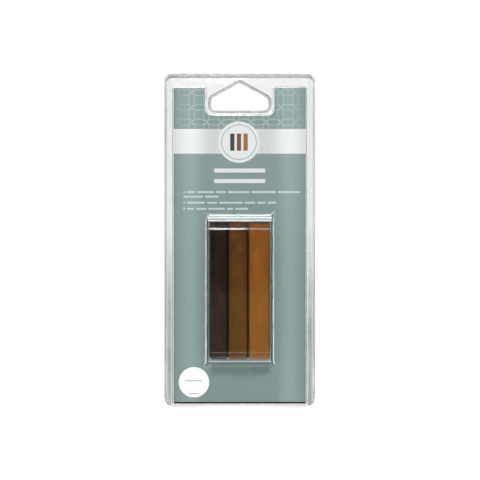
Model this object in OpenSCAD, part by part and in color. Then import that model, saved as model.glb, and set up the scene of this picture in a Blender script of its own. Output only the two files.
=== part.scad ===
// Three furniture repair wax sticks in a hanging clamshell pack.
// X runs to the right, Y runs back, Z runs up, and the front faces -Y.
// The origin is where a peg bears: the top of the hang hole, on the plane between the two halves.
// Sheets and boards are drawn lying face up, with heights counted forward from that plane,
// and are then stood upright.

/* [Card] */
// Width of the printed card
card_w = 67.6; // [62:0.1:70]
// Height of the printed card
card_h = 161.8; // [156:0.1:170]
// Thickness of the board
card_t = 0.4; // [0.25:0.05:0.6]
// Distance from the peg's bearing point down to the card's top edge
card_drop = 3.4; // [3:0.1:5]
// Corner radius of the card
card_r = 0.5; // [0.3:0.1:2]
// Width of the notch round the hang hole
notch_w = 35.5; // [34.5:0.1:38]
// Depth of the notch below the card's top edge
notch_d = 14.3; // [13.8:0.1:17]
// Radius of the notch's lower corners
notch_r = 3.5; // [2.5:0.1:4]

/* [Clear sheet] */
// Thickness of the formed sheet
sheet_t = 0.3; // [0.2:0.05:0.4]
// Gap between the two flanges of the closed pack
parting_gap = 0.1; // [0.06:0.02:0.2]
// Gap between the card's edge and the pocket's wall
card_clear = 0.35; // [0.25:0.05:0.5]
// Gap in front of the card and behind it
card_float = 0.1; // [0.05:0.05:0.2]
// Gap between the plug of the back half and the pocket that it nests in
plug_gap = 0.1; // [0.08:0.02:0.16]

/* [Pack outline] */
// Width over the flanges
pack_w = 77.4; // [76:0.1:84]
// Distance from the peg's bearing point up to the top edge
top_margin = 4.3; // [4:0.1:7]
// Strip of flange between the pocket and the fold
foot_margin = 0.2; // [0.1:0.05:1]
// Corner radius of the flanges
pack_r = 3.6; // [3:0.1:6]

/* [Rim bead] */
// Flat lip outside the bead
lip_w = 0.25; // [0.2:0.05:0.6]
// Width of the bead along the sides
bead_side_w = 1.3; // [1.2:0.05:1.6]
// Width of the bead along the top
bead_top_w = 2; // [1.6:0.05:2.2]
// Height of the bead above the flange
bead_h = 0.8; // [0.6:0.05:1.2]
// How far each wall of the bead leans in over that height
bead_lean = 0.25; // [0.15:0.05:0.3]

/* [Card pocket] */
// Height of the pocket above the flange
pocket_h = 1.5; // [1.4:0.05:2.2]
// How far the pocket's wall leans in over that height
pocket_lean = 0.6; // [0.3:0.05:0.7]
// Radius along the pocket's front edge
pocket_edge_r = 0.5; // [0.45:0.05:0.6]

/* [Hang hole] */
// Width of the hang hole
hole_w = 30.9; // [28:0.1:31.5]
// Height of the hang hole
hole_h = 15.3; // [14:0.1:15.5]
// Slope of the two upper edges, in degrees
hole_slope = 29; // [20:1:32]
// Radius at the top, where the peg bears
hole_top_r = 2; // [1:0.1:4]
// Radius of the shoulders and of the lower corners
hole_side_r = 3; // [1:0.1:3.2]

/* [Bubble] */
// Distance from the peg's bearing point down to the bubble's centre
bubble_drop = 106.5; // [100:0.5:115]
// Width over the flared foot
bubble_w = 36.1; // [35.8:0.1:40]
// Length over the flared foot
bubble_l = 78.3; // [78:0.1:82]
// Height above the pocket's face
bubble_h = 11.3; // [11.2:0.1:13]
// Width and height of the flare round the foot
flare = 1; // [0.6:0.1:1.4]
// Lean of each side wall above the flare
side_lean = 1.4; // [0.9:0.1:1.5]
// Lean of each end wall, from the flare up to its shoulder
end_lean = 3.2; // [2.6:0.1:3.3]
// Height of the shoulders above the pocket's face
shoulder_h = 9.9; // [9.8:0.1:10.1]
// Length of the slope from each shoulder to the front face
slope_l = 4.3; // [3.5:0.1:5]
// Radius where the flare turns into the wall
flare_r = 0.8; // [0.6:0.1:1]
// Radius along the shoulders and round the front face
bubble_edge_r = 1; // [0.7:0.1:1.2]
// Radius of the bubble's upright corners
bubble_r = 2; // [1.8:0.1:2.6]

/* [Wax sticks] */
// Length of the dark and the medium stick
stick_l = 68.3; // [60:0.1:68.5]
// How much shorter the light stick is
light_short = 0.7; // [0.2:0.1:2]
// Width of the dark stick
dark_w = 8.9; // [8:0.1:9]
// Width of the medium stick
medium_w = 9.6; // [9:0.1:9.8]
// Width of the light stick
light_w = 10.6; // [9:0.1:10.7]
// Depth of the sticks, from the card to the front
stick_d = 9.6; // [8.5:0.1:9.7]
// Radius of the long edges
stick_edge_r = 1.8; // [0.8:0.1:2.5]
// Radius of the cast lower end
stick_foot_r = 1.4; // [0.8:0.1:2]
// Radius of the cut upper end
stick_cut_r = 0.5; // [0.2:0.1:1]
// Gap between neighbouring sticks
stick_gap = 0.4; // [0.3:0.05:0.5]
// Gap between a stick and the card, and under its lower end
stick_clear = 0.3; // [0.2:0.05:0.35]

/* [Shade label] */
// Diameter of the round label
label_d = 15.6; // [10:0.1:16]
// Thickness of the label
label_t = 0.1; // [0.05:0.01:0.2]
// Distance of the label's centre from the left side of the card
label_in = 10.4; // [9:0.1:11]
// Distance of the label's centre from the lower edge of the card
label_up = 11; // [9:0.1:11.2]

/* [Living hinge] */
// Outer radius of the fold
hinge_r = 0.5; // [0.45:0.01:0.6]
// Thickness of the fold
hinge_t = 0.25; // [0.15:0.01:0.26]
// Distance from the flanges' lower edges down to the fold's axis
hinge_drop = 0.2; // [0.15:0.01:0.24]
// Length of the fold
hinge_l = 69; // [60:0.5:70]

/* [Hidden] */

// Steps along each rounded corner of an outline, and round each turned edge
corner_steps = 5;
edge_steps = 3;
$fn = 48;
// How far a cut runs past the face that it opens
overrun = 1;

clear_sheet = [0.84, 0.88, 0.9, 0.4];
card_green = [0.51, 0.59, 0.58];
label_white = [0.98, 0.98, 0.97];
dark_wax = [0.21, 0.17, 0.14];
medium_wax = [0.38, 0.25, 0.11];
light_wax = [0.57, 0.35, 0.16];

// Heights, counted forward from the plane between the halves
flange_back = parting_gap / 2;
flange_front = flange_back + sheet_t;
pocket_front = flange_front + pocket_h;
pocket_inside = pocket_front - sheet_t;
card_front = pocket_inside - card_float;
card_back = card_front - card_t;
plug_front = card_back - card_float;
plug_back = plug_front - sheet_t;
bead_front = flange_front + bead_h;

// A leaning wall measures more across the sheet than a flat one
pocket_slope = pocket_lean / pocket_h;
pocket_wall = sheet_t * sqrt(1 + pow(pocket_slope, 2));
bead_slope = bead_lean / bead_h;
bead_wall = sheet_t * sqrt(1 + pow(bead_slope, 2));

// How far the pocket's foot stands outside the card
pocket_grow = card_clear + pocket_wall + pocket_slope * (card_front - flange_front);

// Places along Z
card_top = -card_drop;
card_foot = card_top - card_h;
notch_foot = card_top - notch_d;
flange_foot = card_foot - pocket_grow - foot_margin;
hinge_z = flange_foot - hinge_drop;

// Places of the sticks, which rest on the bubble's lower end wall
shoulder_l = bubble_l - 2 * (flare + end_lean);
stick_back = card_front + stick_clear;
stick_front = stick_back + stick_d;
sticks_w = dark_w + medium_w + light_w + 2 * stick_gap;
stick_foot = -bubble_drop - shoulder_l / 2 + sheet_t + stick_clear;

// Outlines: each corner is [x, y, radius]

function unit(v) = v / norm(v);
function flat(c) = [c.x, c.y];

// The points round one corner, from the side that comes in to the side that goes out
function corner_arc(before, corner, after, steps) =
    let (
        at = flat(corner),
        r = corner[2],
        to_before = unit(flat(before) - at),
        to_after = unit(flat(after) - at),
        half = acos(to_before * to_after) / 2,
        middle = at + unit(to_before + to_after) * r / sin(half),
        first = at + to_before * r / tan(half) - middle,
        last = at + to_after * r / tan(half) - middle,
        start = atan2(first.y, first.x),
        turn = (atan2(last.y, last.x) - start + 540) % 360 - 180
    )
    [for (i = [0:steps]) middle + r * [cos(start + turn * i / steps), sin(start + turn * i / steps)]];

// A closed outline with rounded corners
function rounded(corners, steps = corner_steps) =
    let (n = len(corners))
    [for (i = [0:n - 1]) each corner_arc(corners[(i + n - 1) % n], corners[i], corners[(i + 1) % n], steps)];

// An open profile whose inner corners are rounded
function turned(corners, steps = edge_steps) =
    let (last = len(corners) - 1)
    [
        flat(corners[0]),
        for (i = [1:last - 1]) each corner_arc(corners[i - 1], corners[i], corners[i + 1], steps),
        flat(corners[last])
    ];

// The inner side of a profile that runs from a foot up and in to a crown, one wall further in
function inward(from, to) = let (d = unit(flat(to) - flat(from))) [-d.y, d.x];
function drawn_in(corners, wall) =
    let (last = len(corners) - 1)
    [
        for (i = [0:last])
            let (
                before = inward(corners[max(i - 1, 0)], corners[max(i, 1)]),
                after = inward(corners[min(i, last - 1)], corners[min(i + 1, last)]),
                at = flat(corners[i]) + wall * (before + after) / (1 + before * after),
                hollow = cross(before, after) < 0
            )
            [at.x, at.y, corners[i][2] + (hollow ? wall : -wall)]
    ];

// The card's outline, grown by a given amount all round
function card_corners(grow) =
    let (
        side = card_w / 2 + grow,
        top = card_top + grow,
        foot = card_foot - grow,
        notch_side = notch_w / 2 - grow,
        notch_low = notch_foot + grow,
        r = card_r + grow
    )
    [
        [side, foot, r], [side, top, r], [notch_side, top, r], [notch_side, notch_low, notch_r - grow],
        [-notch_side, notch_low, notch_r - grow], [-notch_side, top, r], [-side, top, r], [-side, foot, r]
    ];

// The flange's outline, drawn in by a given amount at the sides and at the top
function pack_corners(side_in, top_in) =
    let (
        side = pack_w / 2 - side_in,
        top = top_margin - top_in,
        foot = flange_foot + side_in,
        r = pack_r - side_in
    )
    [[side, foot, r], [side, top, r], [-side, top, r], [-side, foot, r]];

// A rectangle about the bubble's centre
function bubble_corners(half_w, half_l, r) =
    [for (s = [[1, -1], [1, 1], [-1, 1], [-1, -1]]) [s.x * half_w, s.y * half_l - bubble_drop, r]];

// The hang hole: a flat-bottomed triangle with shoulders
function hole_corners() =
    let (
        side = hole_w / 2,
        peak = hole_top_r * (1 / cos(hole_slope) - 1),
        shoulder = peak - side * tan(hole_slope)
    )
    [
        [side, -hole_h, hole_side_r], [side, shoulder, hole_side_r], [0, peak, hole_top_r],
        [-side, shoulder, hole_side_r], [-side, -hole_h, hole_side_r]
    ];

// The sides of a stick seen square on, with its lower and upper corners rounded
function stick_corners(w, l) =
    [
        [w / 2, 0, stick_foot_r], [w / 2, l, stick_cut_r],
        [-w / 2, l, stick_cut_r], [-w / 2, 0, stick_foot_r]
    ];

// Solids

// A solid through outlines that have as many points each; a ring is [outline, height].
// Each end is one face, unless it is given as parts that can each be seen whole from their first point.
module loft(rings, end_parts = []) {
    n = len(rings[0][0]);
    top = (len(rings) - 1) * n;
    points = [for (ring = rings) for (p = ring[0]) [p.x, p.y, ring[1]]];
    foot_faces = len(end_parts) > 0 ? end_parts : [[for (i = [0:n - 1]) i]];
    top_faces = [for (f = foot_faces) [for (i = [0:len(f) - 1]) top + f[(len(f) - i) % len(f)]]];
    walls = [
        for (j = [0:len(rings) - 2]) for (i = [0:n - 1])
            let (a = j * n + i, b = j * n + (i + 1) % n)
            each [[a, a + n, b + n], [a, b + n, b]]
    ];
    polyhedron(points, concat(foot_faces, top_faces, walls), convexity = 6);
}

// Stands what was drawn face up on its lower edge
module upright() {
    rotate([90, 0, 0]) children();
}

// The space inside the flange's outline, leaning in by its wall's slope from one height to another
module rim_block(side_in, top_in, slope, low, high) {
    loft([
        for (h = [low, high])
            let (lean = slope * (h - flange_front))
            [rounded(pack_corners(side_in + lean, top_in + lean)), h]
    ]);
}

// The bead that runs round the front flange, with the groove behind it
module rim() {
    side_end = lip_w + bead_side_w;
    top_end = lip_w + bead_top_w;
    groove_front = bead_front - sheet_t;
    difference() {
        union() {
            translate([0, 0, flange_back]) linear_extrude(sheet_t) polygon(rounded(pack_corners(0, 0)));
            difference() {
                rim_block(lip_w, lip_w, bead_slope, flange_back, bead_front);
                rim_block(side_end, top_end, -bead_slope, flange_front, bead_front + overrun);
            }
        }
        difference() {
            rim_block(lip_w + bead_wall, lip_w + bead_wall, bead_slope, flange_back - overrun, groove_front);
            rim_block(
                side_end - bead_wall, top_end - bead_wall, -bead_slope,
                flange_back - 2 * overrun, groove_front + overrun
            );
        }
    }
}

// A notched outline's end in three parts: right of the notch, left of it, and below it
function notched_end(per_corner) =
    let (half = 4 * per_corner, last = 2 * half - 1)
    [
        [for (i = [0:half - 1]) i],
        [last, for (i = [half:last - 1]) i],
        [0, half - 1, half, last]
    ];

// A raised panel that follows the card's outline, up to a front height, with a rounded front edge
module panel(grow_at_flange, low, front, edge_r) {
    foot_grow = grow_at_flange - pocket_slope * (low - flange_front);
    front_grow = grow_at_flange - pocket_slope * (front - flange_front);
    profile = turned([[foot_grow, low, 0], [front_grow, front, edge_r], [front_grow - 2 * edge_r, front, 0]]);
    rings = [for (i = [0:len(profile) - 2]) profile[i]];
    loft([for (p = rings) [rounded(card_corners(p.x), edge_steps), p.y]], notched_end(edge_steps + 1));
}

// The bubble's outer face, or its inner face when drawn in by the sheet
module bubble(inset) {
    half_w = bubble_w / 2;
    half_l = bubble_l / 2;
    side_profile = turned(drawn_in([
        [half_w + flare, -flare, 0],
        [half_w - flare, flare, flare_r],
        [half_w - flare - side_lean, bubble_h, bubble_edge_r],
        [0, bubble_h, 0]
    ], inset));
    end_profile = turned(drawn_in([
        [half_l + flare, -flare, 0],
        [half_l - flare, flare, flare_r],
        [half_l - flare - end_lean, shoulder_h, bubble_edge_r],
        [half_l - flare - end_lean - slope_l, bubble_h, bubble_edge_r],
        [0, bubble_h, 0]
    ], inset));
    widths = [for (i = [0:len(side_profile) - 2]) [side_profile[i].y, side_profile[i].x]];
    rings = [for (i = [0:len(end_profile) - 2]) end_profile[i]];
    loft([
        for (p = rings)
            let (half = lookup(p.y, widths), r = bubble_r - inset - (half_w - half) / 2)
            [rounded(bubble_corners(half, p.x, max(r, bubble_edge_r - inset))), pocket_front + p.y]
    ]);
}

// The hang hole's cut, through the flanges of both halves
module hang_cut() {
    reach = flange_front + overrun;
    translate([0, 0, -reach]) linear_extrude(2 * reach) polygon(rounded(hole_corners()));
}

// One stick, standing on its cast end, made where its three views meet
module stick(w, l) {
    half_d = stick_d / 2;
    intersection() {
        linear_extrude(l) polygon(rounded([
            for (s = [[1, -1], [1, 1], [-1, 1], [-1, -1]]) [s.x * w / 2, s.y * half_d, stick_edge_r]
        ]));
        rotate([90, 0, 0]) translate([0, 0, -half_d])
            linear_extrude(stick_d) polygon(rounded(stick_corners(w, l)));
        rotate([90, 0, 90]) translate([0, 0, -w / 2])
            linear_extrude(w) polygon(rounded(stick_corners(stick_d, l)));
    }
}

// Puts a stick in its row, from its left side
module in_row(left, w) {
    translate([left + w / 2 - sticks_w / 2, -(stick_back + stick_front) / 2, stick_foot]) children();
}

// Pieces

module front_shell() {
    color(clear_sheet) upright() difference() {
        union() {
            rim();
            panel(pocket_grow, flange_back, pocket_front, pocket_edge_r);
            bubble(0);
        }
        panel(pocket_grow - pocket_wall, flange_back - overrun, pocket_inside, pocket_edge_r - sheet_t);
        bubble(sheet_t);
        hang_cut();
    }
}

module back_shell() {
    plug_grow = pocket_grow - pocket_wall - plug_gap;
    color(clear_sheet) upright() difference() {
        union() {
            translate([0, 0, -flange_front]) linear_extrude(sheet_t) polygon(rounded(pack_corners(0, 0)));
            panel(plug_grow, -flange_front, plug_front, sheet_t);
        }
        panel(plug_grow - pocket_wall, -flange_front - overrun, plug_back, sheet_t / 2);
        hang_cut();
    }
}

module living_hinge() {
    color(clear_sheet) translate([0, 0, hinge_z]) difference() {
        rotate([0, 90, 0]) cylinder(h = hinge_l, r = hinge_r, center = true);
        rotate([0, 90, 0]) cylinder(h = hinge_l + 2 * overrun, r = hinge_r - hinge_t, center = true);
        translate([-hinge_l / 2 - overrun, -hinge_r - overrun, hinge_drop])
            cube([hinge_l + 2 * overrun, 2 * (hinge_r + overrun), hinge_r + overrun]);
    }
}

module card_insert() {
    color(card_green) upright() translate([0, 0, card_back])
        linear_extrude(card_t) polygon(rounded(card_corners(0)));
}

module shade_label() {
    color(label_white) upright()
        translate([label_in - card_w / 2, card_foot + label_up, pocket_front])
            cylinder(h = label_t, d = label_d);
}

module wax_stick_dark() {
    color(dark_wax) in_row(0, dark_w) stick(dark_w, stick_l);
}

module wax_stick_medium() {
    color(medium_wax) in_row(dark_w + stick_gap, medium_w) stick(medium_w, stick_l);
}

module wax_stick_light() {
    color(light_wax) in_row(dark_w + medium_w + 2 * stick_gap, light_w) stick(light_w, stick_l - light_short);
}

front_shell();
back_shell();
living_hinge();
card_insert();
shade_label();
wax_stick_dark();
wax_stick_medium();
wax_stick_light();
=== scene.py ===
# %% [markdown]
# Furniture wax sticks in a clear hanging pack
#
# Three bars of filling wax, one for dark, one for medium and one for light wood, lie in a clear
# bubble on the front of a pack that hangs on a shop's peg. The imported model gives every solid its
# place and its joints, so this lesson starts by loading it as a fixed frame. Sizes below are in
# millimetres, as a maker would write them, and each finished mesh is brought to metres at the end.

import math

import bmesh
import bpy
from mathutils import Matrix, Vector, noise
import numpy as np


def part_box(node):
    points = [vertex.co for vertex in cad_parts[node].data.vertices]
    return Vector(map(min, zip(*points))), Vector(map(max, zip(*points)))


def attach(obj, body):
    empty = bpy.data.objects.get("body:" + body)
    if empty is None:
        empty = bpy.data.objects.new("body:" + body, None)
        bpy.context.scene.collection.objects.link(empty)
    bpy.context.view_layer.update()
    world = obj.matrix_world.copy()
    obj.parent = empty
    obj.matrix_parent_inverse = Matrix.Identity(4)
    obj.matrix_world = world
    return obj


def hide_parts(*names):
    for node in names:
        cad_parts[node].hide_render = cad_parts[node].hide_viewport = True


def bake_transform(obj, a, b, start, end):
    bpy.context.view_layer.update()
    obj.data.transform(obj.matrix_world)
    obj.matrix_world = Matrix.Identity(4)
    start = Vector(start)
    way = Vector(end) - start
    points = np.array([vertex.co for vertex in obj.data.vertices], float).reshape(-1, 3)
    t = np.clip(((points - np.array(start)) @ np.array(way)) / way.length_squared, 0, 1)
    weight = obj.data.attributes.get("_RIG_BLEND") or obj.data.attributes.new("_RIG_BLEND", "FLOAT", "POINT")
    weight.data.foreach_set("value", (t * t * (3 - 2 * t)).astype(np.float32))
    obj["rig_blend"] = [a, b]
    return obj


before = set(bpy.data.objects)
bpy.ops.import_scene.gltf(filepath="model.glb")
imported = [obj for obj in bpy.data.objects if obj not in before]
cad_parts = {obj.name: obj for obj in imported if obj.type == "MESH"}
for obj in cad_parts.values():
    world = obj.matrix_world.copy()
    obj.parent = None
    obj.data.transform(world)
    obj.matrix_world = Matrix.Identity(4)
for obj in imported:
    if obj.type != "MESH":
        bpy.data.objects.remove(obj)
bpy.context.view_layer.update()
scene = bpy.context.scene

# %% [markdown]
# Camera
#
# The pack was photographed square on. Its far half shows a little smaller than the bubble's crown,
# which stands nearer the lens, and that difference gives the distance: about 300 mm. A camera can be
# placed by eye, but working from one pixel's size on the plane of the rim puts every edge where it
# belongs at once.

# %% Camera
MM = 0.001
PICTURE = 480  # pixels across
PIXEL = 0.515  # millimetres on the plane of the rim
EYE = Vector((0.15, -300.0, -81.4))
UPRIGHT = Matrix.Rotation(math.radians(90), 3, "X")

lens = bpy.data.cameras.new("camera")
lens.angle = 2 * math.atan(PICTURE * PIXEL / 2 / abs(EYE.y))
camera = bpy.data.objects.new("camera", lens)
camera.location = EYE * MM
camera.rotation_euler = UPRIGHT.to_euler()
scene.collection.objects.link(camera)
scene.camera = camera
scene.view_settings.view_transform = "Standard"
print("field of view:", round(math.degrees(lens.angle), 1), "degrees")

# %% [markdown]
# Soft studio light
#
# Clear plastic shows only what it bends and mirrors, so the lamps are chosen for their reflections
# as much as for their light. A photographer works with two sets: soft boxes that light the card and
# the wax, and narrow ones placed where a bend in the sheet mirrors them as a bright line. Light
# linking keeps the two apart, so the first set throws no glare on the sheet, and the second adds no
# light to the card. A small lamp lifts the white label alone. Places are in metres from the pack's
# middle. Each lamp is given by its brightness, and the watts are worked out from its area.

# %% Lamps
MIDDLE = Vector((0.0, 0.0, -0.0815))
WATTS_PER_AREA = 4
lit_directly = bpy.data.collections.new("lit_directly")
label_alone = bpy.data.collections.new("label_alone")


def softbox(name, spot, size, brightness, glint=False, receivers=lit_directly):
    """An area lamp that faces the pack. A glint lamp shows in reflections only."""
    lamp = bpy.data.lights.new(name, "AREA")
    lamp.shape = "RECTANGLE"
    lamp.size, lamp.size_y = size
    lamp.energy = brightness * WATTS_PER_AREA * size[0] * size[1]
    box = bpy.data.objects.new(name, lamp)
    box.location = MIDDLE + Vector(spot)
    box.rotation_euler = (-Vector(spot)).to_track_quat("-Z", "Y").to_euler()
    box.visible_camera = False
    box.visible_diffuse = not glint
    if not glint:
        box.light_linking.receiver_collection = receivers
    scene.collection.objects.link(box)


softbox("key_box", (-0.06, -1.24, 1.28), (0.28, 0.28), 50.0)
softbox("front_fill", (0.0, -1.20, 0.15), (0.90, 0.70), 2.1)
softbox("back_fill", (0.0, 1.10, 0.25), (0.80, 0.70), 5.0)
softbox("label_lift", (0.0, -1.20, 0.0), (0.40, 0.40), 0.5, receivers=label_alone)
softbox("crease_glint", (-0.085, -0.816, 0.41), (0.19, 0.18), 8.5, glint=True)
softbox("crease_tail", (0.065, -0.816, 0.41), (0.11, 0.18), 2.0, glint=True)
softbox("low_crease_glint", (0.0, -0.816, -0.41), (0.30, 0.06), 2.4, glint=True)
softbox("top_glint", (0.0, -0.16, 0.78), (0.90, 0.25), 6.0, glint=True)
softbox("low_glint", (0.0, -0.04, -0.245), (0.30, 0.06), 2.4, glint=True)
for side, word in ((-1, "left"), (1, "right")):
    softbox(word + "_box", (side * 0.75, -0.70, 0.05), (0.50, 0.90), 0.35)
    softbox(word + "_glint", (side * 0.78, -0.12, 0.0), (0.26, 0.80), 4.4, glint=True)
    softbox(word + "_corner_glint", (side * 0.55, -0.14, 0.55), (0.30, 0.30), 10.0, glint=True)

# %% [markdown]
# Helpers for nodes
#
# The world and the materials here are small networks of nodes. A few helpers keep them readable: one
# places a node and plugs in its values, and the others do a sum, a soft change or a mix of two
# colours. Colours are written as they look on screen and turned into the linear values that the
# renderer works with.

# %% Node helpers
MIX_FIRST, MIX_SECOND, MIX_RESULT = 6, 7, 2  # the colour sockets of a Mix node


def plug(tree, value, socket):
    """Links an output to a socket, or gives the socket a plain value."""
    if isinstance(value, bpy.types.NodeSocket):
        tree.links.new(value, socket)
    else:
        socket.default_value = value


def place(tree, kind, values=None, **settings):
    """Adds a node with its settings, and plugs in the values of its sockets."""
    node = tree.nodes.new(kind)
    for key, value in settings.items():
        setattr(node, key, value)
    for key, value in (values or {}).items():
        plug(tree, value, node.inputs[key])
    return node


def calc(tree, kind, *values, clamp=False):
    node = place(tree, "ShaderNodeMath", dict(enumerate(values)), operation=kind, use_clamp=clamp)
    return node.outputs[0]


def vector_calc(tree, kind, *values):
    node = place(tree, "ShaderNodeVectorMath", dict(enumerate(values)), operation=kind)
    return node.outputs["Value" if kind == "DISTANCE" else "Vector"]


def ease(tree, value, low, high, start=0.0, end=1.0):
    """A soft change from start to end while a value goes from low to high."""
    limits = {"Value": value, "From Min": low, "From Max": high, "To Min": start, "To Max": end}
    node = place(tree, "ShaderNodeMapRange", limits, interpolation_type="SMOOTHSTEP")
    return node.outputs["Result"]


def tint(tree, share, first, second, kind="MIX"):
    values = {"Factor": share, MIX_FIRST: first, MIX_SECOND: second}
    node = place(tree, "ShaderNodeMix", values, data_type="RGBA", blend_type=kind)
    return node.outputs[MIX_RESULT]


def shader_mix(tree, share, first, second):
    return place(tree, "ShaderNodeMixShader", {0: share, 1: first, 2: second}).outputs[0]


def seen_as(red, green, blue):
    """A colour written in the levels of a screen, from 0 to 255."""
    def linear(level):
        level /= 255
        return level / 12.92 if level <= 0.04045 else ((level + 0.055) / 1.055) ** 2.4
    return (linear(red), linear(green), linear(blue), 1.0)


WHITE = seen_as(255, 255, 255)
print("a mid grey of 128 is", round(seen_as(128, 128, 128)[0], 3), "in linear light")

# %% [markdown]
# White surround
#
# The photograph has a plain white ground. The world is white to the camera, and to rays that go on
# through the sheet, while the light that it sends to the object stays a quiet grey. The side where
# the photographer stands is dark, as in a studio, so that a clear sheet seen square on mirrors
# nothing: the way a ray heads is taken in the camera's own directions.

# %% World
MIRRORED, AMBIENT = 0.55, 0.24  # shares of white, in the sheet's reflections and on the object
DARK_SIDE, DARK_UNTIL, WHITE_FROM = 0.05, -0.75, -0.40
surround = bpy.data.worlds.new("white_surround")
scene.world = surround
surround.use_nodes = True
sky = surround.node_tree
sky.nodes.clear()
rays = place(sky, "ShaderNodeLightPath").outputs
heading = place(sky, "ShaderNodeTexCoord").outputs["Camera"]
depth = place(sky, "ShaderNodeSeparateXYZ", {0: heading}).outputs["Z"]
away = ease(sky, depth, DARK_UNTIL, WHITE_FROM, DARK_SIDE, 1.0)
mirrored = calc(sky, "MULTIPLY", rays["Is Glossy Ray"], MIRRORED)
by_sheet = calc(sky, "MULTIPLY", away, calc(sky, "MAXIMUM", mirrored, rays["Is Transmission Ray"]))
ambient = calc(sky, "MULTIPLY", rays["Is Diffuse Ray"], AMBIENT)
strength = calc(sky, "MAXIMUM", rays["Is Camera Ray"], calc(sky, "MAXIMUM", by_sheet, ambient))
ground = place(sky, "ShaderNodeBackground", {"Color": WHITE, "Strength": strength})
place(sky, "ShaderNodeOutputWorld", {"Surface": ground.outputs[0]})
print("world:", len(sky.nodes), "nodes")

# %% [markdown]
# Floor
#
# The floor lies well below the hanging pack, so that the back half can swing right down. It is one
# round plate in a soft white that takes the pack's shadow. Towards its edge it turns to plain white
# for the camera, also through the sheet, so that no rim shows in the other views.

# %% Floor
FLOOR_DROP, FLOOR_BACK, FLOOR_REACH, FLOOR_SIDES = -0.36, 0.07, 0.27, 96
FADE_FROM, FADE_TO = 0.45, 0.97  # shares of the floor's reach
SOFT_WHITE = (0.86, 0.86, 0.86, 1)
slab = bmesh.new()
bmesh.ops.create_circle(slab, cap_ends=True, radius=FLOOR_REACH, segments=FLOOR_SIDES)
bmesh.ops.translate(slab, vec=(0, FLOOR_BACK, FLOOR_DROP), verts=slab.verts)
floor_mesh = bpy.data.meshes.new("floor")
slab.to_mesh(floor_mesh)
slab.free()
floor = bpy.data.objects.new("floor", floor_mesh)
scene.collection.objects.link(floor)
lit_directly.objects.link(floor)


def blank(name):
    """A new material: itself, its nodes and its shader."""
    paint = bpy.data.materials.new(name)
    paint.use_nodes = True
    return paint, paint.node_tree, paint.node_tree.nodes["Principled BSDF"]


def show(tree, surface):
    plug(tree, surface, tree.nodes["Material Output"].inputs["Surface"])


floor_paint, tree, shader = blank("floor_paint")
shader.inputs["Base Color"].default_value = SOFT_WHITE
shader.inputs["Roughness"].default_value = 0.8
here = place(tree, "ShaderNodeTexCoord").outputs["Object"]
level = vector_calc(tree, "MULTIPLY", here, (1, 1, 0))
reach = vector_calc(tree, "DISTANCE", level, (0, FLOOR_BACK, 0))
fade = ease(tree, reach, FLOOR_REACH * FADE_FROM, FLOOR_REACH * FADE_TO)
rays = place(tree, "ShaderNodeLightPath").outputs
to_camera = calc(tree, "MAXIMUM", rays["Is Camera Ray"], rays["Is Transmission Ray"])
plain_white = place(tree, "ShaderNodeEmission", {"Color": WHITE, "Strength": 1.0}).outputs[0]
faded = calc(tree, "MULTIPLY", fade, to_camera)
show(tree, shader_mix(tree, faded, shader.outputs[0], plain_white))
floor_mesh.materials.append(floor_paint)

# %% [markdown]
# Formed sheet
#
# Both halves of the pack are thermoformed: a flat sheet of clear plastic, 0.3 mm thick, is warmed
# and drawn over a mould, so it has the same wall everywhere, leaning sides and no sharp edge. It is
# drawn here as the mould is, lying face up. An outline is a flat face whose corners are bevelled,
# and a wall's profile is a short path whose corners are turned.

# %% Outlines and profiles
CORNER_STEPS, EDGE_STEPS = 6, 5
BRACE, LONG_RUN = 0.06, 0.4
NEAR = 1e-5


def rounded_outline(corners):
    """Points round a flat outline. Each corner is x, y and how far its bevel reaches."""
    plate = bmesh.new()
    plate.faces.new([plate.verts.new((x, y, 0)) for x, y, reach in corners])
    for size in sorted({reach for x, y, reach in corners if reach > 0}):
        ends = [Vector((x, y, 0)) for x, y, reach in corners if reach == size]
        chosen = [v for v in plate.verts if any((v.co - end).length < NEAR for end in ends)]
        bmesh.ops.bevel(
            plate, geom=chosen, offset=size, offset_type="OFFSET", affect="VERTICES",
            segments=CORNER_STEPS, profile=0.5, material=-1,
        )
    points = [v.co.copy() for v in max(plate.faces, key=lambda face: face.calc_area()).verts]
    plate.free()
    return points


def eased(path):
    """A profile with turned corners, braced at both ends of each long run.

    The path's points are across, up and a radius.
    """
    points = []
    for i, (across, up, radius) in enumerate(path):
        corner = Vector((across, up))
        if not radius:
            points.append(corner)
            continue
        back = (Vector(path[i - 1][:2]) - corner).normalized()
        onward = (Vector(path[i + 1][:2]) - corner).normalized()
        half = back.angle(onward) / 2
        centre = corner + (back + onward).normalized() * radius / math.sin(half)
        start = corner + back * radius / math.tan(half) - centre
        end = corner + onward * radius / math.tan(half) - centre
        for step in range(EDGE_STEPS + 1):
            points.append(centre + radius * start.slerp(end, step / EDGE_STEPS))
    braced = points[:1]
    for low, high in zip(points, points[1:]):
        run = high - low
        if run.length > LONG_RUN:
            braced += [low + BRACE * run.normalized(), high - BRACE * run.normalized()]
        braced.append(high)
    return braced


TRIAL = rounded_outline([(0, 0, 1), (9, 0, 1), (9, 9, 1), (0, 9, 1)])
print("a trial outline has", len(TRIAL), "points")

# %% [markdown]
# From outlines to a skin
#
# A stack of outlines at rising heights is bridged into a skin, and the flat places between are
# filled. Each point also carries a mark that says how scuffed the sheet is there, because worn edges
# are what the eye finds first on clear plastic. The skin gets its thickness at the end, and only then
# is it stood upright and tied to the frame.

# %% Rings, skins and finished pieces
LEVEL = 1e-6


def new_sheet():
    """An empty mesh whose points carry a mark: how scuffed the sheet is there."""
    bm = bmesh.new()
    bm.verts.layers.float.new("scuff")
    return bm


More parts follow.
